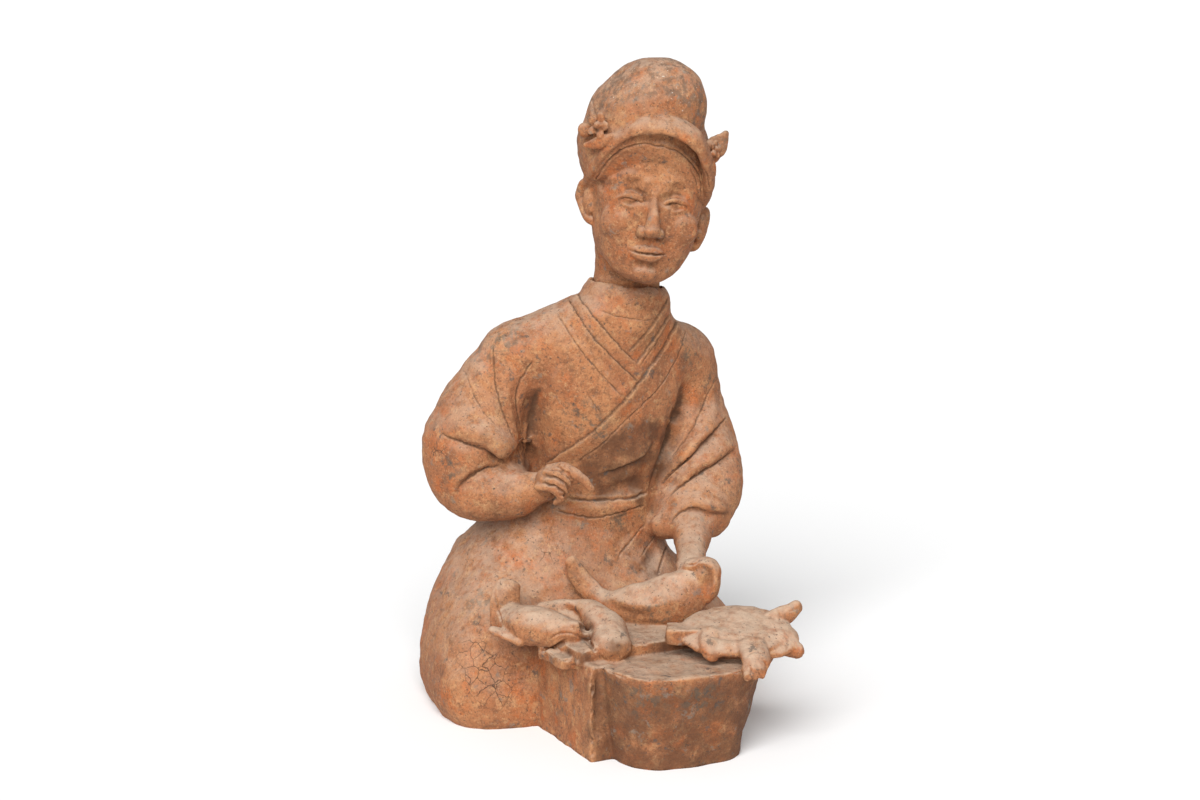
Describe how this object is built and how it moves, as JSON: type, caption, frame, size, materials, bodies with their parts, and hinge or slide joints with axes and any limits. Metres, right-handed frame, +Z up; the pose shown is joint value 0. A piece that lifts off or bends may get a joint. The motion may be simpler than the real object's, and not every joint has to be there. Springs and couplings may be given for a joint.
{
  "type": "terracotta cook figure",
  "caption": "Kneeling cook at a chopping table in hollow terracotta, with a robe, a tall cap and a lift-out head whose neck sits in the collar.",
  "frame": {"origin": "on the ground, under the middle of the robe's base", "axes": "+Z up, the figure faces -Y, and its own left hand is towards +X"},
  "size_m": [0.3176, 0.4257, 0.6],
  "materials": {
    "terracotta_body": "unglazed, worn and stained",
    "terracotta_head": "unglazed, worn and stained"
  },
  "bodies": {
    "root": {"kneeling_cook": "terracotta_body", "head_with_cap": "terracotta_head"}
  },
  "joints": []
}
